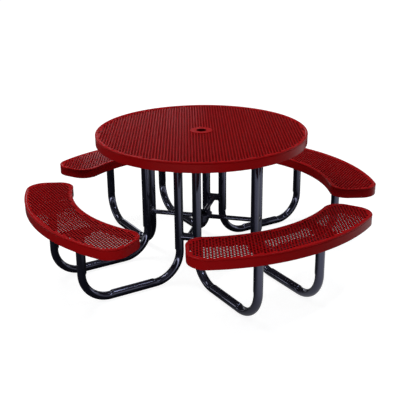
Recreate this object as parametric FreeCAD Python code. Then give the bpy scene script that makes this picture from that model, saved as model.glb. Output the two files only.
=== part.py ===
import FreeCAD, Part
import math
import os

# Round picnic table with four attached seats, in millimetres.
# The origin is on the ground under the middle of the table, +Z is up, and +X and +Y point at seats.

Vector = FreeCAD.Vector
ORIGIN = Vector(0, 0, 0)
UP = Vector(0, 0, 1)

# Counts
seat_count = 4
sides = (1, -1)

# Tabletop
table_height = 768.0
table_diameter = 1168.4
table_skirt_depth = 55.0

# Seats: the outline is two arcs about the table's axis, joined by slanted ends with round corners
seat_height = 443.0
seat_skirt_depth = 56.0
seat_stand_off = 140.0
seat_width = 259.0
seat_inner_arc_radius = 749.0
seat_outer_arc_radius = 1036.0
seat_inner_half_length = 447.0
seat_outer_half_length = 574.0
seat_inner_corner_radius = 92.0
seat_outer_corner_radius = 102.0

# Coated sheet of the tabletop and seats, with its rolled edge
sheet_thickness = 5.0
panel_recess = 3.0
rim_band = 13.0
bead_slope = 3.0
bead_nose_radius = 5.0
groove_depth = 3.0
groove_floor = 1.5
skirt_setback = 1.0

# Holes of the sheets: fewer and larger than the real ones, in the same staggered rows
hole_pitch = 94.0
hole_diameter = 64.0
hole_margin = 5.0
seat_hole_row_place = 68.0
hole_place_tolerance = 0.01

# Umbrella hole
umbrella_hole_diameter = 54.0
socket_wall = 3.0
socket_depth = 37.0
collar_diameter = 125.0
collar_thickness = 3.0

# Angle ribs welded under the sheets
rib_height = 34.0
rib_width = 32.0
rib_thickness = 4.0

# Leg tubes, each bent to a U from a table post, a floor run and a seat post
leg_diameter = 48.3
leg_wall = 2.5
leg_half_spacing = 188.6
leg_corner_spacing = 99.6
leg_seat_inset = 105.3
leg_bend_radius = 152.4
leg_bend_flattening = 6.0
leg_neck_length = 12.0

# Mounting plates on the tops of the posts
plate_thickness = 5.0
plate_margin = 8.0
plate_corner_radius = 8.0

# Cross tubes, brace tubes and hub
cross_diameter = 42.0
cross_wall = 2.5
brace_height = 260.0
brace_diameter = 26.0
brace_wall = 2.0
hub_plate_diameter = 115.0
hub_plate_thickness = 5.0
hub_sleeve_depth = 45.0

# Bolts, washers and nuts
bolt_diameter = 10.0
bolt_hole_clearance = 0.5
bolt_head_flats = 16.0
bolt_head_height = 6.4
bolt_end_overrun = 3.0
nut_height = 8.0
washer_diameter = 20.0
washer_thickness = 2.0
washer_clearance = 3.5
corner_bolt_half_spacing = 20.0

# Angles and places that follow
seat_turn = 360.0 / seat_count
corner_turn = seat_turn / 2
corner_sin = math.sin(math.radians(corner_turn))
corner_cos = math.cos(math.radians(corner_turn))

table_radius = table_diameter / 2
panel_radius = table_radius - rim_band
groove_back_inset = groove_depth + sheet_thickness
socket_radius = umbrella_hole_diameter / 2 + socket_wall

seat_inner_edge = table_radius + seat_stand_off
seat_outer_edge = seat_inner_edge + seat_width
seat_inner_centre = Vector(seat_inner_edge - seat_inner_arc_radius, 0, 0)
seat_outer_centre = Vector(seat_outer_edge - seat_outer_arc_radius, 0, 0)

leg_radius = leg_diameter / 2
leg_table_place = (leg_corner_spacing / 2 + leg_half_spacing * corner_cos) / corner_sin
leg_seat_place = seat_inner_edge + leg_seat_inset
corner_place = leg_table_place * corner_cos + leg_half_spacing * corner_sin

table_sheet_top = table_height - panel_recess
table_sheet_bottom = table_sheet_top - sheet_thickness
table_rib_bottom = table_sheet_bottom - rib_height
leg_table_top = table_rib_bottom - plate_thickness
seat_sheet_bottom = seat_height - panel_recess - sheet_thickness
seat_rib_bottom = seat_sheet_bottom - rib_height
leg_seat_top = seat_rib_bottom - plate_thickness

hole_row_step = hole_pitch * math.sqrt(3) / 2
hole_edge_inset = rim_band + hole_margin + hole_diameter / 2

hub_plate_bottom = brace_height + brace_diameter / 2
bolt_hole_radius = bolt_diameter / 2 + bolt_hole_clearance
seat_bolt_offset = leg_radius + washer_clearance + washer_diameter / 2


def turned(shape, angle):
    """Copy of a shape, turned about the table's axis."""
    copy = shape.copy()
    copy.rotate(ORIGIN, UP, angle)
    return copy


def moved(shape, x, y):
    """Copy of a shape, moved along the ground."""
    copy = shape.copy()
    copy.translate(Vector(x, y, 0))
    return copy


def rod(start, end, radius):
    """Round bar from one point to another."""
    reach = end - start
    return Part.makeCylinder(radius, reach.Length, start, reach)


def ring(outer_radius, inner_radius, bottom, height):
    """Flat ring or sleeve about the table's axis."""
    outer = Part.makeCylinder(outer_radius, height, Vector(0, 0, bottom))
    return outer.cut(Part.makeCylinder(inner_radius, height, Vector(0, 0, bottom)))


def rounded_plate(length, width, bottom):
    """Mounting plate with round corners, centred over the origin."""
    plate = Part.makeBox(length, width, plate_thickness, Vector(-length / 2, -width / 2, bottom))
    uprights = [edge for edge in plate.Edges if abs(edge.tangentAt(0).z) > 0.5]
    return plate.makeFillet(plate_corner_radius, uprights)


def bolt_holes(places, bottom, height):
    """Bars that cut the bolt holes at the given places."""
    bars = [Part.makeCylinder(bolt_hole_radius, height, Vector(x, y, bottom)) for x, y in places]
    return bars[0].fuse(bars[1:])


def angle_rib(length, middle, side, bottom):
    """Angle bar along +X: a flat foot with its upright at the given side."""
    foot_far = middle - side * rib_width / 2
    foot_near = middle + side * rib_width / 2
    upright_inner = foot_near - side * rib_thickness
    foot_top = bottom + rib_thickness
    top = bottom + rib_height
    outline = [
        Vector(0, foot_far, bottom),
        Vector(0, foot_near, bottom),
        Vector(0, foot_near, top),
        Vector(0, upright_inner, top),
        Vector(0, upright_inner, foot_top),
        Vector(0, foot_far, foot_top),
        Vector(0, foot_far, bottom),
    ]
    return Part.Face(Part.makePolygon(outline)).extrude(Vector(length, 0, 0))


def edge_point(place, outward, top, inset, drop):
    """Point of the rolled edge's section, by its inset from the outline and its drop from the top."""
    spot = place - outward * inset
    return Vector(spot.x, spot.y, top - drop)


def edge_section(place, outward, top, skirt_depth):
    """Face of the rolled edge's section: a sloped band, a round bead, a groove under it and a skirt."""
    groove_top = bead_nose_radius + groove_depth
    groove_bottom = groove_top + groove_floor
    skirt_top = groove_bottom + groove_depth - skirt_setback
    round_start = skirt_depth - sheet_thickness / 2
    slope_top = rim_band - bead_slope
    skirt_back = skirt_setback + sheet_thickness
    nose_share = 1 - math.sqrt(0.5)

    def at(inset, drop):
        return edge_point(place, outward, top, inset, drop)

    def quarter(start, half_way, end):
        return Part.Arc(start, half_way, end).toShape()

    band = [
        at(rim_band, panel_recess),
        at(slope_top, 0),
        at(bead_nose_radius, 0),
    ]
    groove = [
        at(groove_depth, groove_top),
        at(groove_depth, groove_bottom),
        at(skirt_setback, skirt_top),
        at(skirt_setback, round_start),
    ]
    back = [
        at(skirt_back, round_start),
        at(skirt_back, skirt_top + sheet_thickness),
        at(groove_back_inset, groove_bottom + sheet_thickness),
        at(groove_back_inset, sheet_thickness),
        at(slope_top, sheet_thickness),
        at(rim_band, panel_recess + sheet_thickness),
        at(rim_band, panel_recess),
    ]
    nose_tip = at(0, bead_nose_radius)
    nose_upper = at(bead_nose_radius * nose_share, bead_nose_radius * nose_share)
    nose_lower = at(groove_depth * nose_share, groove_top - groove_depth * nose_share)
    skirt_foot = at(skirt_setback + sheet_thickness / 2, skirt_depth)
    edges = []
    for run in (band, groove, back):
        edges += [Part.LineSegment(a, b).toShape() for a, b in zip(run, run[1:])]
    edges.append(quarter(band[-1], nose_upper, nose_tip))
    edges.append(quarter(nose_tip, nose_lower, groove[0]))
    edges.append(quarter(groove[-1], skirt_foot, back[0]))
    return Part.Face(Part.Wire(Part.__sortEdges__(edges)))


def seat_corners():
    """Centres of the inner and outer corner arcs of the seat's +Y end, and the end's normal."""
    inner_drop = math.sqrt(seat_inner_arc_radius ** 2 - seat_inner_half_length ** 2)
    outer_drop = math.sqrt(seat_outer_arc_radius ** 2 - seat_outer_half_length ** 2)
    inner_end = seat_inner_centre + Vector(inner_drop, seat_inner_half_length, 0)
    outer_end = seat_outer_centre + Vector(outer_drop, seat_outer_half_length, 0)
    along = (outer_end - inner_end).normalize()
    normal = Vector(-along.y, along.x, 0)
    inner = corner_centre(inner_end, along, normal, seat_inner_corner_radius,
                          seat_inner_centre, seat_inner_arc_radius + seat_inner_corner_radius)
    outer = corner_centre(inner_end, along, normal, seat_outer_corner_radius,
                          seat_outer_centre, seat_outer_arc_radius - seat_outer_corner_radius)
    return inner, outer, normal


def corner_centre(start, along, normal, radius, arc_centre, distance):
    """Centre of a corner arc that touches the end line and the seat's inner or outer arc."""
    base = start - normal * radius - arc_centre
    middle = base.dot(along)
    travel = -middle + math.sqrt(middle ** 2 - base.dot(base) + distance ** 2)
    return arc_centre + base + along * travel


def mirrored(vector):
    """The same point or direction on the seat's other end."""
    return Vector(vector.x, -vector.y, vector.z)


def seat_outline():
    """Stretches of the seat's outline, counter-clockwise.

    Each is its start with the outward normal there, its arc's centre or None, and its end with the normal.
    """
    inner, outer, end_normal = seat_corners()
    to_outer = (outer - seat_outer_centre).normalize()
    to_inner = (inner - seat_inner_centre).normalize()
    outer_start = seat_outer_centre + to_outer * seat_outer_arc_radius
    end_outer = outer + end_normal * seat_outer_corner_radius
    end_inner = inner + end_normal * seat_inner_corner_radius
    inner_start = seat_inner_centre + to_inner * seat_inner_arc_radius
    corners = [
        (outer_start, to_outer, outer),
        (end_outer, end_normal, None),
        (end_inner, end_normal, inner),
        (inner_start, -to_inner, seat_inner_centre),
        (mirrored(inner_start), mirrored(-to_inner), mirrored(inner)),
        (mirrored(end_inner), mirrored(end_normal), None),
        (mirrored(end_outer), mirrored(end_normal), mirrored(outer)),
        (mirrored(outer_start), mirrored(to_outer), seat_outer_centre),
    ]
    following = corners[1:] + corners[:1]
    return [(a[0], a[1], a[2], b[0], b[1]) for a, b in zip(corners, following)]


def turn_between(first, second):
    """Signed angle in degrees from one level direction to another."""
    return math.degrees(math.atan2(first.cross(second).z, first.dot(second)))


def seat_slab(inset, bottom, height):
    """Slab with the seat's outline, drawn in by an inset."""
    edges = []
    for start, normal, centre, end, end_normal in seat_outline():
        first = start - normal * inset
        last = end - end_normal * inset
        if centre is None:
            edges.append(Part.LineSegment(first, last).toShape())
        else:
            half_turn = FreeCAD.Rotation(UP, turn_between(normal, end_normal) / 2)
            half_way = centre + half_turn.multVec(first - centre)
            edges.append(Part.Arc(first, half_way, last).toShape())
    face = Part.Face(Part.Wire(Part.__sortEdges__(edges)))
    face.translate(Vector(0, 0, bottom))
    return face.extrude(Vector(0, 0, height))


def seat_rim():
    """Rolled edge all round a seat, carried along each stretch of its outline."""
    stretches = []
    for start, normal, centre, end, end_normal in seat_outline():
        section = edge_section(start, normal, seat_height, seat_skirt_depth)
        if centre is None:
            stretches.append(section.extrude(end - start))
        else:
            stretches.append(section.revolve(centre, UP, turn_between(normal, end_normal)))
    return stretches[0].fuse(stretches[1:])


def staggered_places(first_x, reach):
    """Places in rows along Y, out to a reach all round the first row's middle.

    Every other row is moved along by half a pitch.
    """
    rows = math.ceil(reach / hole_row_step)
    steps = math.ceil(reach / hole_pitch)
    places = []
    for row in range(-rows, rows + 1):
        for step in range(-steps, steps + 1):
            places.append((first_x + row * hole_row_step, (step + row % 2 / 2) * hole_pitch))
    return places


def with_holes(sheet, places, bottom):
    """Sheet with a round hole at each place."""
    bars = [Part.makeCylinder(hole_diameter / 2, sheet_thickness, Vector(x, y, bottom)) for x, y in places]
    return sheet.cut(Part.makeCompound(bars))


def seat_panel():
    """Sheet of a seat, inside its rolled edge, with the holes that lie clear of that edge."""
    clear = seat_slab(hole_edge_inset, seat_sheet_bottom, sheet_thickness)
    half_way = seat_sheet_bottom + sheet_thickness / 2
    first_row = seat_inner_edge + seat_hole_row_place
    places = [(x, y) for x, y in staggered_places(first_row, seat_outer_half_length)
              if clear.isInside(Vector(x, y, half_way), hole_place_tolerance, False)]
    return with_holes(seat_slab(rim_band, seat_sheet_bottom, sheet_thickness), places, seat_sheet_bottom)


def seat_bolt_places(side):
    """Places of a seat post's two bolts, before and behind the post."""
    y = side * leg_half_spacing
    return [(leg_seat_place - seat_bolt_offset, y), (leg_seat_place + seat_bolt_offset, y)]


def seat_rib(side):
    """Angle rib under a seat, over one post, from skirt to skirt."""
    rib = angle_rib(seat_outer_edge, side * leg_half_spacing, side, seat_rib_bottom)
    hollow = seat_slab(groove_back_inset, seat_rib_bottom, rib_height)
    return rib.common(hollow).cut(bolt_holes(seat_bolt_places(side), seat_rib_bottom, rib_thickness))


def seat_plate(side):
    """Plate on a seat post, under the rib."""
    length = 2 * (seat_bolt_offset + washer_diameter / 2 + plate_margin / 2)
    width = leg_diameter + 2 * plate_margin
    plate = rounded_plate(length, width, leg_seat_top)
    plate = moved(plate, leg_seat_place, side * leg_half_spacing)
    return plate.cut(bolt_holes(seat_bolt_places(side), leg_seat_top, plate_thickness))


def top_panel():
    """Sheet of the tabletop, from the socket to the rolled edge, with the holes clear of edge and collar."""
    nearest = collar_diameter / 2 + hole_margin + hole_diameter / 2
    farthest = table_radius - hole_edge_inset
    places = [(x, y) for x, y in staggered_places(0, table_radius) if nearest < math.hypot(x, y) < farthest]
    sheet = ring(panel_radius, socket_radius, table_sheet_bottom, sheet_thickness)
    return with_holes(sheet, places, table_sheet_bottom)


def top_rim():
    """Rolled edge all round the tabletop."""
    section = edge_section(Vector(table_radius, 0, 0), Vector(1, 0, 0), table_height, table_skirt_depth)
    return section.revolve(ORIGIN, UP, 360.0)


def top_collar():
    """Flat ring on the tabletop, round the umbrella hole."""
    return ring(collar_diameter / 2, umbrella_hole_diameter / 2, table_sheet_top, collar_thickness)


def top_socket():
    """Short sleeve through the sheet, under the collar, which the top ribs meet."""
    height = sheet_thickness + socket_depth
    return ring(socket_radius, umbrella_hole_diameter / 2, table_sheet_top - height, height)


def corner_bolt_places():
    """Places of a corner's two bolts along +X, between its two posts."""
    return [(corner_place + side * corner_bolt_half_spacing, 0) for side in sides]


def top_rib():
    """Angle rib under the tabletop along +X, from the socket to the skirt."""
    rib = angle_rib(table_radius, 0, 1, table_rib_bottom)
    hollow = ring(table_radius - groove_back_inset, socket_radius, table_rib_bottom, rib_height)
    return rib.common(hollow).cut(bolt_holes(corner_bolt_places(), table_rib_bottom, rib_thickness))


def leg_plate():
    """Plate across the two table posts of a corner that lies along +X."""
    depth = 2 * (corner_bolt_half_spacing + washer_diameter / 2 + plate_margin / 2)
    width = leg_corner_spacing + leg_diameter + 2 * plate_margin
    plate = moved(rounded_plate(depth, width, leg_table_top), corner_place, 0)
    return plate.cut(bolt_holes(corner_bolt_places(), leg_table_top, plate_thickness))


def tube_section(centre, inward, radius, inward_reach):
    """Outline of a leg tube's section: round outside the bend, and flatter towards the bend's middle."""
    side = Vector(0, radius, 0)
    outer_half = Part.Arc(centre + side, centre - inward * radius, centre - side).toShape()
    if inward_reach < radius:
        ellipse = Part.Ellipse(centre + side, centre + inward * inward_reach, centre)
        inner_half = Part.ArcOfEllipse(ellipse, 0, math.pi).toShape()
    else:
        inner_half = Part.Arc(centre + side, centre + inward * radius, centre - side).toShape()
    return Part.Wire(Part.__sortEdges__([outer_half, inner_half]))


def tube_neck(flat_end, round_end, inward, radius, inward_reach):
    """Short stretch of tube where the flattened bend turns round again."""
    flat = tube_section(flat_end, inward, radius, inward_reach)
    full = tube_section(round_end, inward, radius, radius)
    return Part.makeLoft([flat, full], True, True)


def bent_body(radius):
    """Posts, bends and floor run of a leg's tube in the XZ plane, for its outer surface or its bore."""
    reach = radius - leg_bend_flattening
    bend_height = leg_radius + leg_bend_radius
    pieces = []
    run_ends = []
    for place, top, way in ((leg_table_place, leg_table_top, 1), (leg_seat_place, leg_seat_top, -1)):
        inward = Vector(way, 0, 0)
        post_foot = Vector(place, 0, bend_height)
        neck_top = Vector(place, 0, bend_height + leg_neck_length)
        bend_centre = Vector(place + way * leg_bend_radius, 0, bend_height)
        run_start = Vector(bend_centre.x, 0, leg_radius)
        run_round = run_start + inward * leg_neck_length
        section = Part.Face(tube_section(post_foot, inward, radius, reach))
        pieces.append(rod(neck_top, Vector(place, 0, top), radius))
        pieces.append(tube_neck(post_foot, neck_top, inward, radius, reach))
        pieces.append(section.revolve(bend_centre, Vector(0, way, 0), -90.0))
        pieces.append(tube_neck(run_start, run_round, UP, radius, reach))
        run_ends.append(run_round)
    pieces.append(rod(run_ends[0], run_ends[1], radius))
    return pieces[0].fuse(pieces[1:])


def leg_tube():
    """One U-shaped leg tube with its bore, in the XZ plane."""
    return bent_body(leg_radius).cut(bent_body(leg_radius - leg_wall))


def corner_posts():
    """Bars with the outer surface of the two table posts of a corner that lies along +X."""
    half = leg_corner_spacing / 2
    ends = [(Vector(corner_place, side * half, 0), Vector(corner_place, side * half, leg_table_top))
            for side in sides]
    bars = [rod(foot, top, leg_radius) for foot, top in ends]
    return bars[0].fuse(bars[1])


def cross_bar(radius):
    """Bar between the middles of a corner's two posts, across +X."""
    half = leg_corner_spacing / 2
    return rod(Vector(corner_place, -half, brace_height), Vector(corner_place, half, brace_height), radius)


def cross_tube():
    """Short tube that joins the two table posts of a corner, with its ends cut to fit them."""
    tube = cross_bar(cross_diameter / 2).cut(cross_bar(cross_diameter / 2 - cross_wall))
    return tube.cut(corner_posts())


def brace_tube():
    """Tube along +X from the hub's sleeve to a cross tube, with its ends cut to fit them."""
    start = Vector(0, 0, brace_height)
    end = Vector(corner_place, 0, brace_height)
    tube = rod(start, end, brace_diameter / 2).cut(rod(start, end, brace_diameter / 2 - brace_wall))
    brace_bottom = Vector(0, 0, brace_height - brace_diameter / 2)
    sleeve = Part.makeCylinder(socket_radius, brace_diameter, brace_bottom)
    return tube.cut(sleeve).cut(cross_bar(cross_diameter / 2))


def hub_sleeve():
    """Sleeve in the middle of the braces, which holds the umbrella pole."""
    bottom = hub_plate_bottom - hub_sleeve_depth
    return ring(socket_radius, umbrella_hole_diameter / 2, bottom, hub_sleeve_depth)


def hub_plate():
    """Flat ring on top of the sleeve and the braces."""
    outer_radius = hub_plate_diameter / 2
    return ring(outer_radius, umbrella_hole_diameter / 2, hub_plate_bottom, hub_plate_thickness)


def hexagon(bottom, height):
    """Six-sided block about the vertical axis, as wide across its flats as a bolt head."""
    radius = bolt_head_flats / math.sqrt(3)
    angles = [math.radians(60 * step) for step in range(7)]
    points = [Vector(radius * math.cos(a), radius * math.sin(a), bottom) for a in angles]
    return Part.Face(Part.makePolygon(points)).extrude(Vector(0, 0, height))


def bolt(plate_bottom):
    """Bolt with its head under a plate and washer."""
    seat = plate_bottom - washer_thickness
    length = washer_thickness + plate_thickness + rib_thickness + nut_height + bolt_end_overrun
    shank = Part.makeCylinder(bolt_diameter / 2, length, Vector(0, 0, seat))
    return hexagon(seat - bolt_head_height, bolt_head_height).fuse(shank)


def washer(plate_bottom):
    """Washer between a bolt head and a plate."""
    return ring(washer_diameter / 2, bolt_diameter / 2, plate_bottom - washer_thickness, washer_thickness)


def nut(plate_bottom):
    """Nut on a rib's foot."""
    foot_top = plate_bottom + plate_thickness + rib_thickness
    bore = Part.makeCylinder(bolt_diameter / 2, nut_height, Vector(0, 0, foot_top))
    return hexagon(foot_top, nut_height).cut(bore)


def at_all_bolts(make):
    """One fastener at every bolt place of the seats and corners, as separate solids."""
    solids = []
    seat_fastener = make(leg_seat_top)
    corner_fastener = make(leg_table_top)
    for index in range(seat_count):
        for side in sides:
            for x, y in seat_bolt_places(side):
                solids.append(turned(moved(seat_fastener, x, y), index * seat_turn))
        for x, y in corner_bolt_places():
            solids.append(turned(moved(corner_fastener, x, y), index * seat_turn + corner_turn))
    return Part.makeCompound(solids)


def build():
    """All pieces by name."""
    pieces = {
        "top_panel": top_panel(),
        "top_rim": top_rim(),
        "top_collar": top_collar(),
        "top_socket": top_socket(),
        "hub_plate": hub_plate(),
        "hub_sleeve": hub_sleeve(),
        "bolts": at_all_bolts(bolt),
        "washers": at_all_bolts(washer),
        "nuts": at_all_bolts(nut),
    }
    corner_pieces = {
        "top_rib": top_rib(),
        "leg_plate": leg_plate(),
        "cross_tube": cross_tube(),
        "brace_tube": brace_tube(),
    }
    seat_pieces = {
        "seat_rim": seat_rim(),
        "seat_panel": seat_panel(),
    }
    leg = leg_tube()
    for side, letter in zip(sides, "ab"):
        seat_pieces["leg_tube_" + letter] = moved(leg, 0, side * leg_half_spacing)
        seat_pieces["seat_rib_" + letter] = seat_rib(side)
        seat_pieces["seat_plate_" + letter] = seat_plate(side)
    for index in range(seat_count):
        for name, shape in corner_pieces.items():
            pieces[name + "_" + str(index + 1)] = turned(shape, index * seat_turn + corner_turn)
        for name, shape in seat_pieces.items():
            pieces[name + "_" + str(index + 1)] = turned(shape, index * seat_turn)
    return pieces


os.makedirs("parts", exist_ok=True)
for piece_name, piece_shape in build().items():
    piece_shape.exportStep("parts/" + piece_name + ".step")
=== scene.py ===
import math

import bpy
import numpy as np
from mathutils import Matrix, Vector
from mathutils.geometry import delaunay_2d_cdt


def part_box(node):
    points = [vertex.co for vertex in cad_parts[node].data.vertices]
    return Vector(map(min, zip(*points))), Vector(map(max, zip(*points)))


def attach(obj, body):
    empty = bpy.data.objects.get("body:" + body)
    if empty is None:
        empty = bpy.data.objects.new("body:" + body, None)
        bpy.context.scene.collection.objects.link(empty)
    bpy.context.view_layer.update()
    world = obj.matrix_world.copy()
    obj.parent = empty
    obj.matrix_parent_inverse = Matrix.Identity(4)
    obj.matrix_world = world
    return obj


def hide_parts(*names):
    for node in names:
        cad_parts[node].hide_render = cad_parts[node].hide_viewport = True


# Round picnic table with four attached seats, in metres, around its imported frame.
# +X and +Y point at seats, and the floor is at zero.

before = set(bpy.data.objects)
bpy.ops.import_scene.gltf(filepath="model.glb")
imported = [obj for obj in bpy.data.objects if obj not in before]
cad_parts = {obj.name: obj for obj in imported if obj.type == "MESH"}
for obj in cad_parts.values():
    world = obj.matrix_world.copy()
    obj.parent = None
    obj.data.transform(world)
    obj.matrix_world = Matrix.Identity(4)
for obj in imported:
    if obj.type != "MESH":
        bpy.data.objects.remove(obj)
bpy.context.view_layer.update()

# Seats, and the two sides of each
seat_count = 4
sides = (1, -1)

# Tabletop and seats
table_radius = 0.5842
table_height = 0.768
table_skirt_depth = 0.055
seat_height = 0.443
seat_skirt_depth = 0.056
seat_inner_edge = 0.7242
seat_outer_edge = 0.9832
seat_inner_arc_radius = 0.749
seat_outer_arc_radius = 1.036
seat_inner_half_length = 0.447
seat_outer_half_length = 0.574
seat_inner_corner_radius = 0.092
seat_outer_corner_radius = 0.102

# Rolled edge
sheet_thickness = 0.005
panel_recess = 0.003
rim_band = 0.013
bead_slope = 0.003
bead_nose_radius = 0.005
groove_depth = 0.003
groove_floor = 0.0015
skirt_setback = 0.001
coating_round = 0.0008

# Perforation of the sheets
hole_diameter = 0.0128
hole_pitch = 0.018
hole_lip = 0.0006
hole_sides = 12
hole_edge_margin = 0.002

# Umbrella hole
umbrella_hole_radius = 0.027
socket_radius = 0.030
collar_radius = 0.0625
collar_edge_round = 0.0012

# Leg tubes
leg_radius = 0.02415
leg_half_spacing = 0.1886
leg_corner_spacing = 0.0996
leg_table_place = 0.25903
leg_seat_place = 0.8295
leg_bend_radius = 0.1524
leg_bend_flattening = 0.006
leg_neck_length = 0.012

# Cross tubes, brace tubes and hub
cross_radius = 0.021
brace_height = 0.260
brace_radius = 0.013
hub_plate_radius = 0.0575
plate_edge_round = 0.001
tube_end_round = 0.0005

# Weld beads
weld_radius = 0.0028
weld_overlap = 0.001
weld_swell = 0.12
cross_weld_ripples = 30
brace_weld_ripples = 20
post_weld_ripples = 36

# Points along curves and round sections
table_edge_points = 240
seat_outer_arc_points = 40
seat_inner_arc_points = 32
seat_corner_points = 20
edge_round_steps = 6
ring_points = 96
ring_round_steps = 5
well_points = 48
neck_points = 9
bend_points = 25
tube_points = 48
brace_points = 40
straight_tube_rings = 3
bead_points = 8
points_per_ripple = 6

# Points of a sheet that are closer than this are one
point_tolerance = 1e-9

# A sheet's point whose normal is lower than this lies on a wall
wall_normal_height = 0.5

# Painted shade in holes: tone of holes' walls and bores against the coating's deep tone
painted_hole_shade_tone = 0.12

# Dust, which settles by the height of a normal and by patches of a noise
dust_scale = 34.0
dust_normal_height = (0.3, 1.0)
dust_patch = (0.45, 0.75)

# Camera, by the photograph's view
camera_place = (3.5767, -2.1539, 1.9324)
camera_aim = (0.0059, -0.0164, 0.3600)
camera_roll = math.radians(-0.572)
camera_lens = 70.38
camera_reach = 200.0

# Floor: grey under the lamps. The camera sees the shadow's grey, lifted to white farther from the table.
# Reflections see that too, far from the table or along its bright side
floor_radius = 60.0
floor_sides = 96
floor_grey = 0.06
shadow_grey = 0.3
floor_lift = (0.9, 1.0)
floor_lift_distance = (1.2, 4.0)
white_floor_distance = (4.0, 9.0)
bright_side = (0.9, 0.43)
bright_side_distance = (0.2, 1.2)

# Room: its level goes by a direction's height. Reflections show it white low down and over the bright wall
room_colour = (0.95, 0.97, 1.0)
room_level = (0.04, 0.3)
room_level_height = (0.35, 0.9)
white_height = (0.04, 0.14)
bright_wall = (0.77, 0.64)
bright_wall_share = (0.1, 0.7)
bright_wall_height = (0.35, 0.6)

# Lamps
lamp_target = (0, 0, 0.5)
cool_light = (0.82, 0.86, 1.0)
pale_blue_light = (0.85, 0.92, 1.0)
soft_blue_light = (0.9, 0.92, 1.0)

corner_turn = math.pi / seat_count
seat_turn = 2 * math.pi / seat_count
corner_place = leg_table_place * math.cos(corner_turn) + leg_half_spacing * math.sin(corner_turn)
table_sheet_top = table_height - panel_recess
seat_sheet_top = seat_height - panel_recess


# Directions and turns


def unit(vectors):
    """Vectors divided by their lengths."""
    return vectors / np.linalg.norm(vectors, axis=-1, keepdims=True)


def left_of(vectors):
    """Level vectors turned a quarter to the left."""
    return np.stack([-vectors[..., 1], vectors[..., 0]], axis=-1)


def angle_of(vector):
    """Angle of a level vector from +X."""
    return math.atan2(vector[1], vector[0])


def turned(points, angle):
    """Points turned about the table's axis."""
    c, s = math.cos(angle), math.sin(angle)
    return points @ np.array([[c, s, 0], [-s, c, 0], [0, 0, 1]])


def all_turned(part, angle):
    """A part's points and normals turned about the table's axis."""
    points, face_sets, normals = part
    return turned(points, angle), face_sets, turned(normals, angle)


def circle_angles(count):
    """Even angles round a full turn."""
    return np.linspace(0, 2 * math.pi, count, endpoint=False)


# Pieces and surfaces from arrays


def grid_faces(rows, columns, rows_close):
    """Quads between neighbours of a grid of points, whose columns always close to a ring."""
    row, column = np.meshgrid(np.arange(rows - 1 + rows_close), np.arange(columns), indexing="ij")
    next_row = (row + 1) % rows
    next_column = (column + 1) % columns
    corners = [row * columns + column, next_row * columns + column,
               next_row * columns + next_column, row * columns + next_column]
    return np.stack([c.ravel() for c in corners], axis=1)


def grid_normals(grid, rows_close):
    """Cross product, at each point, of the differences between its neighbours along and across the grid."""
    across = np.roll(grid, -1, axis=1) - np.roll(grid, 1, axis=1)
    along = np.roll(grid, -1, axis=0) - np.roll(grid, 1, axis=0)
    if not rows_close:
        along[0] = grid[1] - grid[0]
        along[-1] = grid[-1] - grid[-2]
    return unit(np.cross(along, across))


def corner_triangles(points, face_sets):
    """Triangles of a fan over each face, as their three corners' places."""
    fans = [faces[:, [0, step, step + 1]] for faces in face_sets for step in range(1, faces.shape[1] - 1)]
    return points[np.concatenate(fans)]


def facing_out(points, face_sets, normals):
    """Faces and normals of a closed surface, turned outwards.

    The sign of the volume, the sum of a . (b x c) over its triangles, turns the faces. Each point's normal
    then takes the side of the sum of its faces' cross products.
    """
    a, b, c = np.moveaxis(corner_triangles(points - points.mean(axis=0), face_sets), 1, 0)
    if (a * np.cross(b, c)).sum() < 0:
        face_sets = [faces[:, ::-1] for faces in face_sets]
    lean = np.zeros_like(points)
    for faces in face_sets:
        one_way = points[faces[:, 2]] - points[faces[:, 0]]
        other_way = points[faces[:, -1]] - points[faces[:, 1]]
        across = np.cross(one_way, other_way)
        for corner in range(faces.shape[1]):
            np.add.at(lean, faces[:, corner], across)
    side = np.where((lean * normals).sum(axis=1, keepdims=True) < 0, -1, 1)
    return face_sets, normals * side


def add_piece(name, points, face_sets, normals, finish, replaced=(), walls_to_shade=None):
    """Piece from arrays of points, faces by their number of corners, and one normal for each point.

    Where the mask of walls is given, it says which points lie on the wall of a hole and take painted shade.
    """
    face_sets, normals = facing_out(points, face_sets, normals)
    corners = np.concatenate([faces.ravel() for faces in face_sets])
    sizes = np.concatenate([np.full(len(faces), faces.shape[1]) for faces in face_sets])
    mesh = bpy.data.meshes.new(name)
    mesh.vertices.add(len(points))
    mesh.vertices.foreach_set("co", points.astype(np.float32).ravel())
    mesh.loops.add(len(corners))
    mesh.loops.foreach_set("vertex_index", corners.astype(np.int32))
    mesh.polygons.add(len(sizes))
    mesh.polygons.foreach_set("loop_start", (np.cumsum(sizes) - sizes).astype(np.int32))
    mesh.update(calc_edges=True)
    mesh.polygons.foreach_set("use_smooth", np.ones(len(sizes), bool))
    mesh.normals_split_custom_set_from_vertices(normals.astype(np.float32))
    # Points on holes' walls are marked for painted shade
    if walls_to_shade is not None:
        marks = mesh.attributes.new("hole_wall", "FLOAT", "POINT")
        marks.data.foreach_set("value", walls_to_shade.astype(np.float32))
    mesh.materials.append(finishes[finish])
    piece = bpy.data.objects.new(name, mesh)
    bpy.context.scene.collection.objects.link(piece)
    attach(piece, "root")
    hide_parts(*replaced)


def shaded_hole_walls(surface):
    """Which points of a flat sheet have a level normal, as only the walls of its holes have; these take
    painted shade.
    """
    return np.abs(surface[2][:, 2]) < wall_normal_height


def shaded_bore(surface):
    """Which points lie at the umbrella hole's radius; these take painted shade."""
    return np.linalg.norm(surface[0][:, :2], axis=1) < umbrella_hole_radius + coating_round


def joined(parts):
    """One set of arrays from several parts, each its points, face sets and normals."""
    points, face_sets, normals = zip(*parts)
    firsts = np.cumsum([0] + [len(some) for some in points])
    all_faces = [faces + first for first, some in zip(firsts, face_sets) for faces in some]
    return np.concatenate(points), all_faces, np.concatenate(normals)


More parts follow.
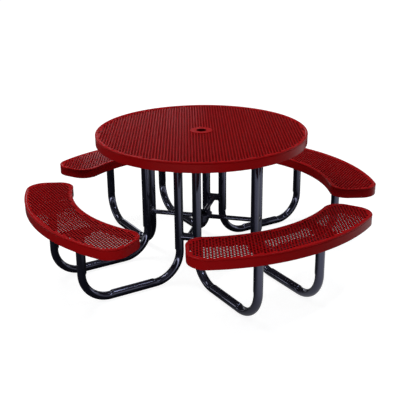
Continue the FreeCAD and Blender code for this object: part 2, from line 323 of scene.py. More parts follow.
def ring_surface(grid):
    """Closed surface from a grid that closes both ways."""
    rows, columns = grid.shape[:2]
    return grid.reshape(-1, 3), [grid_faces(rows, columns, True)], grid_normals(grid, True).reshape(-1, 3)


def bar_surface(grid):
    """Closed surface from a row of rings.

    Each end ring is drawn in a little, towards its middle, and then closed with a fan to that middle.
    """
    middles = grid.mean(axis=1, keepdims=True)
    drawn = 1 - tube_end_round / np.linalg.norm(grid - middles, axis=2, keepdims=True)
    first = middles[:1] + (grid[:1] - middles[:1]) * drawn[:1]
    last = middles[-1:] + (grid[-1:] - middles[-1:]) * drawn[-1:]
    grid = np.concatenate([first, grid, last])
    rows, columns = grid.shape[:2]
    count = rows * columns
    ring = np.arange(columns)
    following = (ring + 1) % columns
    first_fan = np.stack([np.full(columns, count), ring, following], axis=1)
    last_ring = count - columns
    last_fan = np.stack([np.full(columns, count + 1), last_ring + following, last_ring + ring], axis=1)
    poles = np.concatenate([middles[0], middles[-1]])
    ends = unit(np.concatenate([middles[0] - middles[1], middles[-1] - middles[-2]]))
    normals = grid_normals(grid, False)
    normals[0], normals[-1] = ends
    points = np.concatenate([grid.reshape(-1, 3), poles])
    face_sets = [grid_faces(rows, columns, False), np.concatenate([first_fan, last_fan])]
    return points, face_sets, np.concatenate([normals.reshape(-1, 3), ends])


# Rolled edges and their outlines


def rounded(corners, radii, steps):
    """Closed outline of straight sides joined by arcs.

    Each arc starts before its corner by the radius times the tangent of half the turn, and carries the spoke
    from its centre round by that turn.
    """
    corners = np.array(corners, float)
    radii = np.array(radii, float)[:, None]
    into = unit(corners - np.roll(corners, 1, axis=0))
    out = unit(np.roll(corners, -1, axis=0) - corners)
    turn = np.arctan2((left_of(into) * out).sum(axis=1), (into * out).sum(axis=1))[:, None]
    side = np.sign(turn)
    start = corners - into * radii * np.abs(np.tan(turn / 2))
    centre = start + left_of(into) * side * radii
    spoke = (start - centre)[:, None]
    angle = (turn * np.linspace(0, 1, steps + 1))[..., None]
    return (centre[:, None] + spoke * np.cos(angle) + left_of(spoke) * np.sin(angle)).reshape(-1, 2)


def edge_profile(skirt_depth):
    """Section of the rolled edge as (inset, drop), with rounded corners.

    It goes out over the sloped band and the round bead, down the groove and the skirt, and back up inside.
    """
    groove_top = bead_nose_radius + groove_depth
    groove_bottom = groove_top + groove_floor
    skirt_top = groove_bottom + groove_depth - skirt_setback
    skirt_back = skirt_setback + sheet_thickness
    groove_back = groove_depth + sheet_thickness
    slope_top = rim_band - bead_slope
    lower_round = groove_depth - coating_round
    foot_round = sheet_thickness / 2
    corners = [
        ((rim_band, panel_recess), coating_round / 2),
        ((slope_top, 0), 2 * coating_round),
        ((0, 0), bead_nose_radius),
        ((0, groove_top), lower_round),
        ((groove_depth, groove_top), coating_round),
        ((groove_depth, groove_bottom), coating_round),
        ((skirt_setback, skirt_top), 2 * coating_round),
        ((skirt_setback, skirt_depth), foot_round),
        ((skirt_back, skirt_depth), foot_round),
        ((skirt_back, skirt_top + sheet_thickness), coating_round),
        ((groove_back, groove_bottom + sheet_thickness), coating_round),
        ((groove_back, sheet_thickness), coating_round),
        ((slope_top, sheet_thickness), coating_round),
        ((rim_band, panel_recess + sheet_thickness), coating_round / 2),
    ]
    places, radii = zip(*corners)
    return rounded(places, radii, edge_round_steps)


def rolled_edge(places, outward, top, skirt_depth):
    """Edge's section carried round an outline: place less outward times inset, and top less drop."""
    inset, drop = edge_profile(skirt_depth).T
    level = places[:, None] - outward[:, None] * inset[:, None]
    height = np.broadcast_to(top - drop, level.shape[:2])
    return ring_surface(np.concatenate([level, height[..., None]], axis=2))


def circle(radius, count, cut_x=None):
    """Level circle, radius times (cos, sin), with a point more wherever a cut along Y crosses it."""
    angle = circle_angles(count)
    if cut_x is not None:
        crossing = math.acos(cut_x / radius)
        angle = np.sort(np.append(angle, [crossing, 2 * math.pi - crossing]))
    return radius * np.stack([np.cos(angle), np.sin(angle)], axis=1)


def arc(centre, radius, first, last, count, way):
    """Arc's places, centre + radius times (cos, sin), beside its outward directions, way times (cos, sin)."""
    angle = np.linspace(first, last, count)
    spoke = np.stack([np.cos(angle), np.sin(angle)], axis=1)
    return np.concatenate([centre + spoke * radius, spoke * way], axis=1)


def arc_end(centre, radius, half_length):
    """Where a long arc, centred on X, lies half a length to the side."""
    return centre + [math.sqrt(radius ** 2 - half_length ** 2), half_length]


def corner_centre(start, along, normal, radius, arc_centre, distance):
    """Centre of a corner arc, a radius inside the seat's end line and at a distance from a long arc's centre.

    It lies past the point of that inner line that is nearest the long arc's centre, by the square root of the
    distance squared less that point's own distance squared.
    """
    base = start - normal * radius - arc_centre
    middle = base @ along
    return arc_centre + base + along * (math.sqrt(middle ** 2 - base @ base + distance ** 2) - middle)


def seat_path():
    """Places and outward directions round the outline of a seat that lies along +X.

    One half has the long outer arc, its corner, a straight end, the inner corner and the long inner arc.
    The other half is its mirror image.
    """
    inner_centre = np.array([seat_inner_edge - seat_inner_arc_radius, 0])
    outer_centre = np.array([seat_outer_edge - seat_outer_arc_radius, 0])
    inner_end = arc_end(inner_centre, seat_inner_arc_radius, seat_inner_half_length)
    outer_end = arc_end(outer_centre, seat_outer_arc_radius, seat_outer_half_length)
    along = unit(outer_end - inner_end)
    normal = left_of(along)
    inner_corner = corner_centre(inner_end, along, normal, seat_inner_corner_radius, inner_centre,
                                 seat_inner_arc_radius + seat_inner_corner_radius)
    outer_corner = corner_centre(inner_end, along, normal, seat_outer_corner_radius, outer_centre,
                                 seat_outer_arc_radius - seat_outer_corner_radius)
    outer_angle = angle_of(outer_corner - outer_centre)
    end_angle = angle_of(normal)
    inner_angle = angle_of(inner_corner - inner_centre)
    half = np.concatenate([
        arc(outer_centre, seat_outer_arc_radius, 0, outer_angle, seat_outer_arc_points, 1),
        arc(outer_corner, seat_outer_corner_radius, outer_angle, end_angle, seat_corner_points, 1)[1:],
        arc(inner_corner, seat_inner_corner_radius, end_angle, inner_angle + math.pi, seat_corner_points, 1),
        arc(inner_centre, seat_inner_arc_radius, inner_angle, 0, seat_inner_arc_points, -1)[1:],
    ])
    mirrored = half * [1, -1, 1, -1]
    outline = np.concatenate([half, mirrored[-2:0:-1]])
    return outline[:, :2], outline[:, 2:]


# Perforated sheets


def outline_distance(points, outline):
    """Distance from each point to the nearest side of a closed outline."""
    sides_along = np.roll(outline, -1, axis=0) - outline
    reach = points[:, None] - outline
    share = np.clip((reach * sides_along).sum(axis=2) / (sides_along ** 2).sum(axis=1), 0, 1)
    return np.linalg.norm(reach - share[..., None] * sides_along, axis=2).min(axis=1)


def is_inside(points, outline):
    """Whether a line from each point towards +X crosses a closed outline an odd number of times."""
    ahead = np.roll(outline, -1, axis=0)
    x, y = points[:, :1], points[:, 1:]
    spans = (outline[:, 1] > y) != (ahead[:, 1] > y)
    rise = np.where(spans, ahead[:, 1] - outline[:, 1], 1)
    crossing = outline[:, 0] + (y - outline[:, 1]) * (ahead[:, 0] - outline[:, 0]) / rise
    return (spans & (crossing > x)).sum(axis=1) % 2 == 1


def hole_places(outline, middle_x):
    """Middles of staggered holes in rows along Y, clear of the outline.

    Rows are a pitch times the square root of 3 over 2 apart, and every second one is half a pitch along.
    """
    row_step = hole_pitch * math.sqrt(3) / 2
    low, high = outline.min(axis=0), outline.max(axis=0)
    first_row = math.floor((low[0] - middle_x) / row_step)
    last_row = math.ceil((high[0] - middle_x) / row_step)
    first_step = math.floor(low[1] / hole_pitch)
    last_step = math.ceil(high[1] / hole_pitch)
    rows, steps = np.arange(first_row, last_row + 1), np.arange(first_step, last_step + 1)
    row, step = np.meshgrid(rows, steps, indexing="ij")
    along = (step + (row % 2) / 2) * hole_pitch
    places = np.stack([middle_x + row * row_step, along], axis=2).reshape(-1, 2)
    places = places[is_inside(places, outline)]
    return places[outline_distance(places, outline) > hole_diameter / 2 + hole_lip + hole_edge_margin]


def loop_edges(first, count):
    """Edges of a closed loop of points, by their numbers."""
    here = np.arange(count)
    return first + np.stack([here, (here + 1) % count], axis=1)


def perforated(outline, holes, well=None, cut_x=None):
    """Flat triangles between an outline, its holes and a well, by Delaunay's rule, with sides along a cut.

    Each point comes with its place on the wall, which is nearer a hole's middle by the lip, and with the
    number of its hole, or -1 on the outline.
    """
    around = circle(1.0, hole_sides)
    flat = [outline, (holes[:, None] + around * (hole_diameter / 2 + hole_lip)).reshape(-1, 2)]
    wall = [outline, (holes[:, None] + around * (hole_diameter / 2)).reshape(-1, 2)]
    owner = [np.full(len(outline), -1), np.repeat(np.arange(len(holes)), hole_sides)]
    first = len(outline) + hole_sides * np.arange(len(holes))
    edges = [loop_edges(0, len(outline)), (first[:, None, None] + loop_edges(0, hole_sides)).reshape(-1, 2)]
    if well is not None:
        flat.append(well)
        wall.append(well)
        owner.append(np.full(len(well), len(holes)))
        edges.append(loop_edges(len(outline) + hole_sides * len(holes), len(well)))
    flat, wall, owner = (np.concatenate(part) for part in (flat, wall, owner))
    # The cut's two sides go from the outline to the well, in the order of their four points
    if cut_x is not None:
        crossings = np.flatnonzero(np.isclose(flat[:, 0], cut_x, atol=point_tolerance))
        edges.append(crossings[np.argsort(flat[crossings, 1])].reshape(2, 2))
    made = delaunay_2d_cdt(flat.tolist(), np.concatenate(edges).tolist(), [], 0, point_tolerance, False)
    made_points, _, made_faces = made[:3]
    assert len(made_points) == len(flat)
    faces = np.array(made_faces)
    # A triangle whose corners are all on one hole fills it, and one between outline points may lie outside
    owners = owner[faces]
    in_hole = (owners[:, 0] >= 0) & (owners == owners[:, :1]).all(axis=1)
    faces = faces[~in_hole]
    outside = (owner[faces] < 0).all(axis=1)
    outside[outside] = ~is_inside(flat[faces[outside]].mean(axis=1), outline)
    return flat, wall, owner, faces[~outside]


def sheet_surface(flat, wall, owner, faces, top):
    """Closed sheet from its flat triangles: the same ones below, and bands between them along open sides.

    At a hole, three bands make a sloped lip, a straight wall and a lip again. Elsewhere there is one band.
    """
    a, b, c = np.moveaxis(flat[faces], 1, 0)
    left_turn = ((b - a)[:, 0] * (c - a)[:, 1] - (b - a)[:, 1] * (c - a)[:, 0]) > 0
    faces = np.where(left_turn[:, None], faces, faces[:, ::-1])
    # A side is open where no triangle has it the other way round
    count = len(flat)
    directed = np.concatenate([faces[:, [0, 1]], faces[:, [1, 2]], faces[:, [2, 0]]])
    code = directed[:, 0] * count + directed[:, 1]
    opposite = directed[:, 1] * count + directed[:, 0]
    rim = directed[~np.isin(code, opposite)]
    at_hole = (owner[rim[:, 0]] >= 0) & (owner[rim[:, 0]] == owner[rim[:, 1]])
    bottom = top - sheet_thickness
    layers = [(flat, top), (wall, top - hole_lip), (wall, bottom + hole_lip), (flat, bottom)]
    points = np.concatenate([np.column_stack([level, np.full(count, height)]) for level, height in layers])
    in_well = (wall == flat).all(axis=1, keepdims=True)
    inward = np.column_stack([unit(np.where(in_well, -flat, wall - flat)), np.zeros(count)])
    upward = np.tile([0.0, 0.0, 1.0], (count, 1))
    normals = np.concatenate([upward, inward, inward, -upward])

    def band(edges, upper, lower):
        """Quads between the same edges of two layers."""
        first, second = edges[:, 0], edges[:, 1]
        return np.stack([first + upper * count, first + lower * count,
                         second + lower * count, second + upper * count], axis=1)

    holes, plain = rim[at_hole], rim[~at_hole]
    quads = np.concatenate([band(holes, 0, 1), band(holes, 1, 2), band(holes, 2, 3), band(plain, 0, 3)])
    triangles = np.concatenate([faces, faces[:, ::-1] + 3 * count])
    used, place = np.unique(np.concatenate([quads.ravel(), triangles.ravel()]), return_inverse=True)
    face_sets = [place[:quads.size].reshape(quads.shape), place[quads.size:].reshape(triangles.shape)]
    return points[used], face_sets, normals[used]


# Rings, tubes and weld beads


def ring_bar(inner_radius, outer_radius, bottom, top, edge_round):
    """Flat ring or sleeve: a rounded rectangle turned about the table's axis."""
    corners = [(inner_radius, bottom), (outer_radius, bottom), (outer_radius, top), (inner_radius, top)]
    radius, height = rounded(corners, [edge_round] * len(corners), ring_round_steps).T
    around = circle(1.0, ring_points)
    grid = np.concatenate([around[:, None] * radius[:, None],
                           np.broadcast_to(height, (ring_points, len(height)))[..., None]], axis=2)
    return ring_surface(grid)


def ring_like(packed_name, outer_radius, edge_round):
    """Ring bar round the umbrella pole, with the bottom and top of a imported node."""
    low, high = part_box(packed_name)
    return ring_bar(umbrella_hole_radius, outer_radius, low.z, high.z, edge_round)


def smooth_step(share):
    """Share squared times (3 - 2 share)."""
    return share * share * (3 - 2 * share)


def leg_half(place, top, way):
    """Centre line of a leg from a post's top to its floor run, with inward directions and flattening shares.

    The line goes straight down, round a quarter circle and along the floor. The share is 1 round the bend,
    and falls by the smooth step over a neck before and after it.
    """
    bend_height = leg_radius + leg_bend_radius
    neck = np.linspace(0, 1, neck_points)
    angle = np.linspace(0, math.pi / 2, bend_points)[1:]
    zero, one = np.zeros_like(neck), np.ones_like(neck)
    post = np.column_stack([one * place, bend_height + leg_neck_length * (1 - neck)])
    bend = np.column_stack([place + way * leg_bend_radius * (1 - np.cos(angle)),
                            bend_height - leg_bend_radius * np.sin(angle)])
    run = np.column_stack([place + way * (leg_bend_radius + leg_neck_length * neck[1:]),
                           one[1:] * leg_radius])
    line = np.concatenate([[[place, top]], post, bend, run])
    post_in = np.column_stack([one * way, zero])
    bend_in = np.column_stack([way * np.cos(angle), np.sin(angle)])
    run_in = np.column_stack([zero[1:], one[1:]])
    inward = np.concatenate([post_in[:1], post_in, bend_in, run_in])
    flat = np.concatenate([[0], smooth_step(neck), np.ones(len(angle)), smooth_step(1 - neck[1:])])
    return line, inward, flat


def leg_surface(side_place, table_top, seat_top):
    """Leg tube: a circle carried down a post, along the floor and up the other post.

    On the inner side of a bend, the circle's depth is less by the flattening times its share.
    """
    table_half = leg_half(leg_table_place, table_top, 1)
    seat_half = leg_half(leg_seat_place, seat_top, -1)
    line, inward, flat = (np.concatenate([a, b[::-1]]) for a, b in zip(table_half, seat_half))
    angle = circle_angles(tube_points)
    across, deep = leg_radius * np.cos(angle), np.sin(angle)
    reach = leg_radius - leg_bend_flattening * flat[:, None]
    depth = np.where(deep > 0, reach, leg_radius) * deep
    x = line[:, :1] + inward[:, :1] * depth
    z = line[:, 1:] + inward[:, 1:] * depth
    y = np.broadcast_to(side_place + across, x.shape)
    return bar_surface(np.stack([x, y, z], axis=2))


def cross_ends(angle):
    """Half length of a cross tube at an angle round it: half the posts' spacing less a post's reach there."""
    offset = cross_radius * np.cos(angle)
    return leg_corner_spacing / 2 - np.sqrt(leg_radius ** 2 - offset ** 2)


def cross_surface():
    """Cross tube of the corner along +X: a circle carried along Y, with ends cut to fit its two posts."""
    angle = circle_angles(tube_points)
    y = np.linspace(-1, 1, straight_tube_rings)[:, None] * (cross_ends(angle) + weld_overlap)
    x = np.broadcast_to(corner_place + cross_radius * np.cos(angle), y.shape)
    z = np.broadcast_to(brace_height + cross_radius * np.sin(angle), y.shape)
    return bar_surface(np.stack([x, y, z], axis=2))


def brace_ends(angle):
    """Where a brace tube along +X leaves the hub's sleeve and meets its cross tube, at an angle round it.

    Each is the other tube's reach there, the square root of its radius squared less the offset squared.
    """
    offset = brace_radius * np.cos(angle)
    rise = brace_radius * np.sin(angle)
    start = np.sqrt(socket_radius ** 2 - offset ** 2)
    end = corner_place - np.sqrt(cross_radius ** 2 - rise ** 2)
    return start, end


def brace_surface():
    """Brace tube along +X: a circle carried from the hub's sleeve to a cross tube."""
    angle = circle_angles(brace_points)
    start, end = brace_ends(angle)
    start, end = start - weld_overlap, end + weld_overlap
    x = start + np.linspace(0, 1, straight_tube_rings)[:, None] * (end - start)
    y = np.broadcast_to(brace_radius * np.cos(angle), x.shape)
    z = np.broadcast_to(brace_height + brace_radius * np.sin(angle), x.shape)
    return bar_surface(np.stack([x, y, z], axis=2))


def weld_bead(seam, away, ripples):
    """Bead along a closed seam: a circle across it, whose radius swells and sinks with the ripples."""
    along = unit(np.roll(seam, -1, axis=0) - np.roll(seam, 1, axis=0))
    away = unit(away - along * (away * along).sum(axis=1, keepdims=True))
    aside = np.cross(along, away)
    phase = np.linspace(0, 2 * math.pi * ripples, len(seam), endpoint=False)
    radius = weld_radius * (1 + weld_swell * np.cos(phase))[:, None]
    angle = circle_angles(bead_points)
    reach = away[:, None] * np.cos(angle)[:, None] + aside[:, None] * np.sin(angle)[:, None]
    return ring_surface(seam[:, None] + reach * radius[..., None])


def cross_weld(side):
    """Bead where a cross tube meets one of its posts."""
    angle = circle_angles(cross_weld_ripples * points_per_ripple)
    out = np.stack([np.cos(angle), np.zeros_like(angle), np.sin(angle)], axis=1)
    seam = out * cross_radius + [corner_place, 0, brace_height]
    seam[:, 1] = side * cross_ends(angle)
    return weld_bead(seam, out, cross_weld_ripples)


def brace_weld(end):
    """Bead where a brace tube meets the hub's sleeve, its end 0, or its cross tube, its end 1."""
    angle = circle_angles(brace_weld_ripples * points_per_ripple)
    out = np.stack([np.zeros_like(angle), np.cos(angle), np.sin(angle)], axis=1)
    seam = out * brace_radius + [0, 0, brace_height]
    seam[:, 0] = brace_ends(angle)[end]
    return weld_bead(seam, out, brace_weld_ripples)


def post_weld(x, y, height, radius):
    """Level bead round a post or sleeve under its plate."""
    angle = circle_angles(post_weld_ripples * points_per_ripple)
    out = np.stack([np.cos(angle), np.sin(angle), np.zeros_like(angle)], axis=1)
    return weld_bead(out * radius + [x, y, height], out, post_weld_ripples)


# Nodes


def set_inputs(tree, made, values):
    """Node with its inputs set by name: a value that is an output is linked, and any other is written."""
    for key, value in values.items():
        socket = made.inputs[key.replace("_", " ")]
        if isinstance(value, bpy.types.NodeSocket):
            tree.links.new(value, socket)
        else:
            socket.default_value = value
    return made


def node(tree, kind, **values):
    """New node of a tree, with its inputs set by name."""
    return set_inputs(tree, tree.nodes.new(kind), values)


def math_node(tree, operation, first, second):
    """Output of a Math node for two outputs."""
    made = tree.nodes.new("ShaderNodeMath")
    made.operation = operation
    tree.links.new(first, made.inputs[0])
    tree.links.new(second, made.inputs[1])
    return made.outputs[0]


def mixed(tree, share, first, second):
    """Output of a colour that goes from the first to the second by a share."""
    made = tree.nodes.new("ShaderNodeMix")
    made.data_type = "RGBA"
    return set_inputs(tree, made, {"Factor": share, "A": first, "B": second}).outputs["Result"]


def ranged(tree, value, span, result, softness="LINEAR"):
    """Output of a value that goes over a span from the first to the second result, and no farther."""
    made = tree.nodes.new("ShaderNodeMapRange")
    made.interpolation_type = softness
    limits = {"From Min": span[0], "From Max": span[1], "To Min": result[0], "To Max": result[1]}
    return set_inputs(tree, made, {"Value": value, **limits}).outputs["Result"]


def soft_range(tree, value, span, result):
    """Output of a value that goes over a span like that, with a soft start and end."""
    return ranged(tree, value, span, result, "SMOOTHSTEP")


def noise(tree, place, scale, detail, roughness):
    """Output of a noise over a place."""
    made = node(tree, "ShaderNodeTexNoise", Vector=place, Scale=scale, Detail=detail, Roughness=roughness)
    return made.outputs["Fac"]


def reach_along(tree, vector, direction):
    """Output of how far a vector reaches along a level direction, their dot product."""
    made = tree.nodes.new("ShaderNodeVectorMath")
    made.operation = "DOT_PRODUCT"
    tree.links.new(vector, made.inputs[0])
    made.inputs[1].default_value = (*direction, 0)
    return made.outputs["Value"]


# Finishes


def shader_material(name):
    """New material with its node tree and Principled shader."""
    material = bpy.data.materials.new(name)
    material.use_nodes = True
    tree = material.node_tree
    return material, tree, tree.nodes["Principled BSDF"]


def skin_group():
    """Shared surface effect: a coating's flow marks as a height, its soft tone changes and settled dust."""
    group = bpy.data.node_groups.new("coating skin", "ShaderNodeTree")
    for name in ("Flow Scale", "Tone Scale", "Dust Amount"):
        group.interface.new_socket(name, in_out="INPUT", socket_type="NodeSocketFloat")
    for name in ("Height", "Tone", "Dust"):
        group.interface.new_socket(name, in_out="OUTPUT", socket_type="NodeSocketFloat")
    entry = group.nodes.new("NodeGroupInput").outputs
    place = group.nodes.new("ShaderNodeTexCoord").outputs["Object"]
    facing = group.nodes.new("ShaderNodeNewGeometry").outputs["Normal"]

    flow = noise(group, place, entry["Flow Scale"], detail=3.0, roughness=0.45)
    tone = noise(group, place, entry["Tone Scale"], detail=4.0, roughness=0.6)
    speck = noise(group, place, dust_scale, detail=8.0, roughness=0.7)
    height = node(group, "ShaderNodeSeparateXYZ", Vector=facing).outputs["Z"]
    lying = ranged(group, height, dust_normal_height, (0.0, 1.0))
    patch = ranged(group, speck, dust_patch, (0.0, 1.0))
    settled = math_node(group, "MULTIPLY", lying, patch)
    dust = math_node(group, "MULTIPLY", settled, entry["Dust Amount"])
    node(group, "NodeGroupOutput", Height=flow, Tone=tone, Dust=dust)
    return group


def coated(name, deep, light, dust_colour, flow_scale, tone_scale, dust_amount, gloss, gloss_range, bump):
    """Coated finish: two tones of a colour, dust where it settles, uneven gloss and the coating's flow marks.

    Walls of holes take painted shade, a darker copy of the deep tone, where a piece marks them.
    """
    material, tree, shader = shader_material(name)
    skin = tree.nodes.new("ShaderNodeGroup")
    skin.node_tree = skin_effect
    scales = {"Flow Scale": flow_scale, "Tone Scale": tone_scale, "Dust Amount": dust_amount}
    tone = set_inputs(tree, skin, scales).outputs["Tone"]

    tones = mixed(tree, tone, (*deep, 1), (*light, 1))
    dusty = mixed(tree, skin.outputs["Dust"], tones, (*dust_colour, 1))
    # Painted shade: points a piece marks on holes' walls take a dark copy of the deep tone
    in_hole = tree.nodes.new("ShaderNodeAttribute")
    in_hole.attribute_name = "hole_wall"
    dark = (*(painted_hole_shade_tone * part for part in deep), 1)
    colour = mixed(tree, in_hole.outputs["Fac"], dusty, dark)
    shine = ranged(tree, tone, (0.0, 1.0), (gloss - gloss_range, gloss + gloss_range))
    relief = node(tree, "ShaderNodeBump", Strength=1.0, Distance=bump, Height=skin.outputs["Height"])
    set_inputs(tree, shader, {"Base Color": colour, "Roughness": shine, "Normal": relief.outputs["Normal"]})
    return material, shader


def red_coating():
    """Thick red plastic coating of the sheets, smooth from dipping, with a soft shine."""
    material, shader = coated("red coating", deep=(0.3, 0.0035, 0.0045), light=(0.38, 0.005, 0.0065),
                              dust_colour=(0.34, 0.06, 0.06), flow_scale=160.0, tone_scale=9.0,
                              dust_amount=0.03, gloss=0.25, gloss_range=0.04, bump=0.00006)
    shader.inputs["Specular IOR Level"].default_value = 0.05
    shader.inputs["Specular Tint"].default_value = (1.0, 0.45, 0.45, 1)
    return material


def black_coat():
    """Glossy black powder coat of the tubes, with the fine ripple that such a coat dries to."""
    material, shader = coated("black powder coat", deep=(0.005, 0.005, 0.009), light=(0.009, 0.009, 0.016),
                              dust_colour=(0.06, 0.06, 0.065), flow_scale=420.0, tone_scale=14.0,
                              dust_amount=0.05, gloss=0.1, gloss_range=0.03, bump=0.000012)
    shader.inputs["Specular IOR Level"].default_value = 1.0
    shader.inputs["Specular Tint"].default_value = (0.66, 0.68, 1.0, 1)
    return material


def zinc():
    """Zinc plate of bolts, washers and nuts: a mottled bluish metal with fine crystals and duller patches."""
    material, tree, shader = shader_material("zinc plate")
    place = tree.nodes.new("ShaderNodeTexCoord").outputs["Object"]
    crystals = node(tree, "ShaderNodeTexVoronoi", Vector=place, Scale=700.0)
    patches = noise(tree, place, scale=90.0, detail=4.0, roughness=0.5)
    mottle = mixed(tree, patches, (0.42, 0.43, 0.45, 1), (0.62, 0.63, 0.64, 1))
    dull = ranged(tree, crystals.outputs["Distance"], (0.0, 1.0), (0.25, 0.5))
    set_inputs(tree, shader, {"Base Color": mottle, "Roughness": dull, "Metallic": 1.0})
    return material


# Pieces of the table


def make_tabletop():
    """Rolled edge of the tabletop, and its sheet in two halves that meet between two rows of holes.

    One sheet would have more triangles than a piece may.
    """
    path = circle(1.0, table_edge_points)
    edge = rolled_edge(path * table_radius, path, table_height, table_skirt_depth)
    add_piece("tabletop_edge", *edge, "red_coating", ["top_rim"])
    cut_x = hole_pitch * math.sqrt(3) / 4
    outline = circle(table_radius - rim_band, table_edge_points, cut_x)
    well = circle(socket_radius, well_points, cut_x)
    holes = hole_places(outline, 0.0)
    past_collar = np.linalg.norm(holes, axis=1) > collar_radius - hole_diameter / 2
    flat, wall, owner, faces = perforated(outline, holes[past_collar], well, cut_x)
    behind_cut = flat[faces].mean(axis=1)[:, 0] < cut_x
    for name, half in (("tabletop_sheet_a", faces[behind_cut]), ("tabletop_sheet_b", faces[~behind_cut])):
        sheet = sheet_surface(flat, wall, owner, half, table_sheet_top)
        add_piece(name, *sheet, "red_coating", ["top_panel"], shaded_hole_walls(sheet))


def make_umbrella_hole():
    """Collar on the tabletop's sheet and socket through it, both with painted shade in the bore."""
    collar = ring_bar(umbrella_hole_radius, collar_radius, table_sheet_top, table_height, collar_edge_round)
    add_piece("umbrella_collar", *collar, "red_coating", ["top_collar"], shaded_bore(collar))
    socket = ring_like("top_socket", socket_radius, coating_round / 2)
    add_piece("umbrella_socket", *socket, "red_coating", ["top_socket"], shaded_bore(socket))


def make_seats():
    """Perforated sheet and rolled edge of each seat."""
    places, outward = seat_path()
    edge = rolled_edge(places, outward, seat_height, seat_skirt_depth)
    outline = places - outward * rim_band
    holes = hole_places(outline, (seat_inner_edge + seat_outer_edge) / 2)
    sheet = sheet_surface(*perforated(outline, holes), seat_sheet_top)
    for index in range(seat_count):
        number = str(index + 1)
        angle = index * seat_turn
        add_piece("seat_edge_" + number, *all_turned(edge, angle), "red_coating", ["seat_rim_" + number])
        add_piece("seat_sheet_" + number, *all_turned(sheet, angle), "red_coating", ["seat_panel_" + number],
                  shaded_hole_walls(sheet))


def make_frame():
    """Leg tubes, cross tubes and brace tubes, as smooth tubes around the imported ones' places."""
    table_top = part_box("leg_tube_a_1")[1].z
    seat_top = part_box("seat_plate_a_1")[0].z
    for index in range(seat_count):
        number = str(index + 1)
        for side, letter in zip(sides, "ab"):
            leg = leg_surface(side * leg_half_spacing, table_top, seat_top)
            name = letter + "_" + number
            add_piece("leg_" + name, *all_turned(leg, index * seat_turn), "black_tube", ["leg_tube_" + name])
        angle = index * seat_turn + corner_turn
        cross, brace = all_turned(cross_surface(), angle), all_turned(brace_surface(), angle)
        add_piece("cross_bar_" + number, *cross, "black_tube", ["cross_tube_" + number])
        add_piece("brace_" + number, *brace, "black_tube", ["brace_tube_" + number])


def make_hub():
    """Sleeve that the brace tubes meet, and the plate on top of it."""
    sleeve = ring_like("hub_sleeve", socket_radius, coating_round / 2)
    add_piece("pole_sleeve", *sleeve, "black_tube", ["hub_sleeve"])
    plate = ring_like("hub_plate", hub_plate_radius, plate_edge_round)
    add_piece("pole_plate", *plate, "black_tube", ["hub_plate"])


def make_welds():
    """Weld beads of the frame: round the cross tubes' and braces' ends, and under the plates."""
    cross_beads, brace_beads, plate_beads = [], [], []
    plate_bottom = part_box("leg_plate_1")[0].z
    seat_plate_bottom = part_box("seat_plate_a_1")[0].z
    for index in range(seat_count):
        angle = index * seat_turn + corner_turn
        cross_beads += [all_turned(cross_weld(side), angle) for side in sides]
        brace_beads += [all_turned(brace_weld(end), angle) for end in (0, 1)]
        for side in sides:
            corner_bead = post_weld(corner_place, side * leg_corner_spacing / 2, plate_bottom, leg_radius)
            seat_bead = post_weld(leg_seat_place, side * leg_half_spacing, seat_plate_bottom, leg_radius)
            plate_beads += [all_turned(corner_bead, angle), all_turned(seat_bead, index * seat_turn)]
    brace_beads.append(post_weld(0, 0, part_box("hub_plate")[0].z, socket_radius))
    for name, beads in (("cross_bar_welds", cross_beads), ("brace_welds", brace_beads),
                        ("plate_welds", plate_beads)):
        add_piece(name, *joined(beads), "black_tube")


def dress_packed_nodes():
    """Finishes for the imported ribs, plates and fasteners, whose shapes stay as they are."""
    finish_of = {"top_rib": "red_coating", "seat_rib": "red_coating", "leg_plate": "black_tube",
                 "seat_plate": "black_tube", "bolts": "fastener", "washers": "fastener", "nuts": "fastener"}
    for name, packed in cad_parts.items():
        for start, finish in finish_of.items():
            if name.startswith(start):
                packed.data.materials.clear()
                packed.data.materials.append(finishes[finish])


# Floor, room, lamps and camera


def shows_background(tree, mirrored):
    """Share of the white background in what a ray sees.

    It is all for camera and transmission rays, and an output's share for glossy ones.
    """
    path = tree.nodes.new("ShaderNodeLightPath").outputs
    share = math_node(tree, "MULTIPLY", path["Is Glossy Ray"], mirrored)
    for kind in ("Is Camera Ray", "Is Transmission Ray"):
        share = math_node(tree, "MAXIMUM", share, path[kind])
    return share


def mixed_shader(tree, share, first, second, kind):
    """Output node fed with the second shader at a share and with the first for the rest."""
    chosen = node(tree, "ShaderNodeMixShader", Fac=share)
    tree.links.new(first.outputs[0], chosen.inputs[1])
    tree.links.new(second.outputs[0], chosen.inputs[2])
    node(tree, kind, Surface=chosen.outputs[0])


def floor_material():
    """Floor: plain grey under the lamps, and white to the camera, with a faint shadow.

    Reflections show the plain floor near the table and the white one farther off or along the bright side.
    """
    material = bpy.data.materials.new("studio floor")
    material.use_nodes = True
    tree = material.node_tree
    tree.nodes.clear()
    place = tree.nodes.new("ShaderNodeTexCoord").outputs["Object"]
    length = node(tree, "ShaderNodeVectorMath", Vector=place)
    length.operation = "LENGTH"
    distance = length.outputs["Value"]
    lift = soft_range(tree, distance, floor_lift_distance, floor_lift)
    far = soft_range(tree, distance, white_floor_distance, (0.0, 1.0))
    beside = soft_range(tree, reach_along(tree, place, bright_side), bright_side_distance, (0.0, 1.0))
    mirrored = math_node(tree, "MAXIMUM", far, beside)
    plain = node(tree, "ShaderNodeBsdfDiffuse", Color=(floor_grey, floor_grey, floor_grey, 1))
    shaded = node(tree, "ShaderNodeBsdfDiffuse", Color=(shadow_grey, shadow_grey, shadow_grey, 1))
    glow = node(tree, "ShaderNodeEmission", Color=(1, 1, 1, 1), Strength=lift)
    white = tree.nodes.new("ShaderNodeAddShader")
    tree.links.new(shaded.outputs[0], white.inputs[0])
    tree.links.new(glow.outputs[0], white.inputs[1])
    mixed_shader(tree, shows_background(tree, mirrored), plain, white, "ShaderNodeOutputMaterial")
    return material


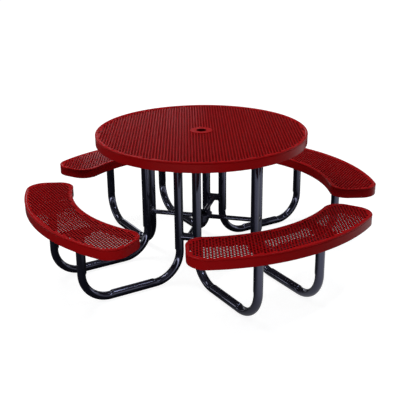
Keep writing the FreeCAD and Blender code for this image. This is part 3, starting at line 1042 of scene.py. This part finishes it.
def make_floor():
    """Round floor under the table."""
    bpy.ops.mesh.primitive_circle_add(vertices=floor_sides, radius=floor_radius, fill_type="NGON",
                                      location=(0, 0, 0))
    floor = bpy.context.object
    floor.name = "studio_floor"
    floor.data.materials.append(floor_material())


def make_world():
    """Grey room for light and reflections, paler upwards, and white behind the table.

    Reflections show white low down and over the bright wall, which fades out upwards.
    """
    world = bpy.data.worlds.new("studio")
    bpy.context.scene.world = world
    world.use_nodes = True
    tree = world.node_tree
    tree.nodes.clear()
    direction = tree.nodes.new("ShaderNodeTexCoord").outputs["Generated"]
    height = node(tree, "ShaderNodeSeparateXYZ", Vector=direction).outputs["Z"]
    level = soft_range(tree, height, room_level_height, room_level)
    room = node(tree, "ShaderNodeBackground", Color=(*room_colour, 1), Strength=level)
    white = node(tree, "ShaderNodeBackground", Color=(1, 1, 1, 1), Strength=1.0)
    low = soft_range(tree, height, white_height, (1.0, 0.0))
    beside = soft_range(tree, reach_along(tree, direction, bright_wall), bright_wall_share, (0.0, 1.0))
    wall = math_node(tree, "MULTIPLY", beside, soft_range(tree, height, bright_wall_height, (1.0, 0.0)))
    mirrored = math_node(tree, "MAXIMUM", low, wall)
    mixed_shader(tree, shows_background(tree, mirrored), room, white, "ShaderNodeOutputWorld")


def add_softbox(name, place, width, height, power, colour=(1, 1, 1)):
    """Soft rectangular lamp that faces the lamps' target."""
    lamp = bpy.data.lights.new(name, "AREA")
    lamp.shape = "RECTANGLE"
    lamp.size = width
    lamp.size_y = height
    lamp.energy = power
    lamp.color = colour
    holder = bpy.data.objects.new(name, lamp)
    holder.location = place
    holder.rotation_euler = (Vector(lamp_target) - Vector(place)).to_track_quat("-Z", "Y").to_euler()
    holder.visible_camera = False
    bpy.context.scene.collection.objects.link(holder)


def make_lights():
    """Softboxes, as the camera sees them.

    The main one is high at the back left. A low wide one in front lights skirts and posts. Those at the
    right, left and back draw highlights on edges and tubes, and so does a narrow strip high at the right.
    """
    add_softbox("softbox_high", place=(-1.9, -0.9, 3.9), width=1.6, height=1.6, power=96.0)
    add_softbox("softbox_front", place=(2.0, -2.3, 0.22), width=4.0, height=0.4, power=30.0)
    add_softbox("softbox_right", place=(1.3, 3.4, 0.9), width=1.6, height=1.4, power=10.0, colour=cool_light)
    add_softbox("softbox_left", place=(-2.0, -3.0, 0.9), width=1.2, height=1.2, power=9.0)
    add_softbox("softbox_back", place=(-3.4, 1.3, 0.9), width=1.2, height=0.5, power=6.0,
                colour=soft_blue_light)
    add_softbox("softbox_strip", place=(1.5, 0.9, 3.2), width=1.2, height=0.22, power=28.0,
                colour=pale_blue_light)


def make_camera():
    """Camera where the photograph was taken from.

    It looks at its aim, then its two cross axes turn by the roll, by cosine and sine, about the view line.
    """
    lens = bpy.data.cameras.new("view")
    lens.lens = camera_lens
    lens.clip_end = camera_reach
    camera = bpy.data.objects.new("view", lens)
    place, aim = Vector(camera_place), Vector(camera_aim)
    camera.location = place
    level = (aim - place).to_track_quat("-Z", "Y").to_matrix()
    rolled = level.copy()
    rolled.col[0] = level.col[0] * math.cos(camera_roll) + level.col[1] * math.sin(camera_roll)
    rolled.col[1] = level.col[1] * math.cos(camera_roll) - level.col[0] * math.sin(camera_roll)
    camera.rotation_euler = rolled.to_euler()
    bpy.context.scene.collection.objects.link(camera)
    bpy.context.scene.camera = camera


skin_effect = skin_group()
finishes = {"red_coating": red_coating(), "black_tube": black_coat(), "fastener": zinc()}
make_camera()
make_tabletop()
make_umbrella_hole()
make_seats()
make_frame()
make_hub()
make_welds()
dress_packed_nodes()
make_floor()
make_world()
make_lights()

bpy.context.scene.view_settings.view_transform = "Standard"
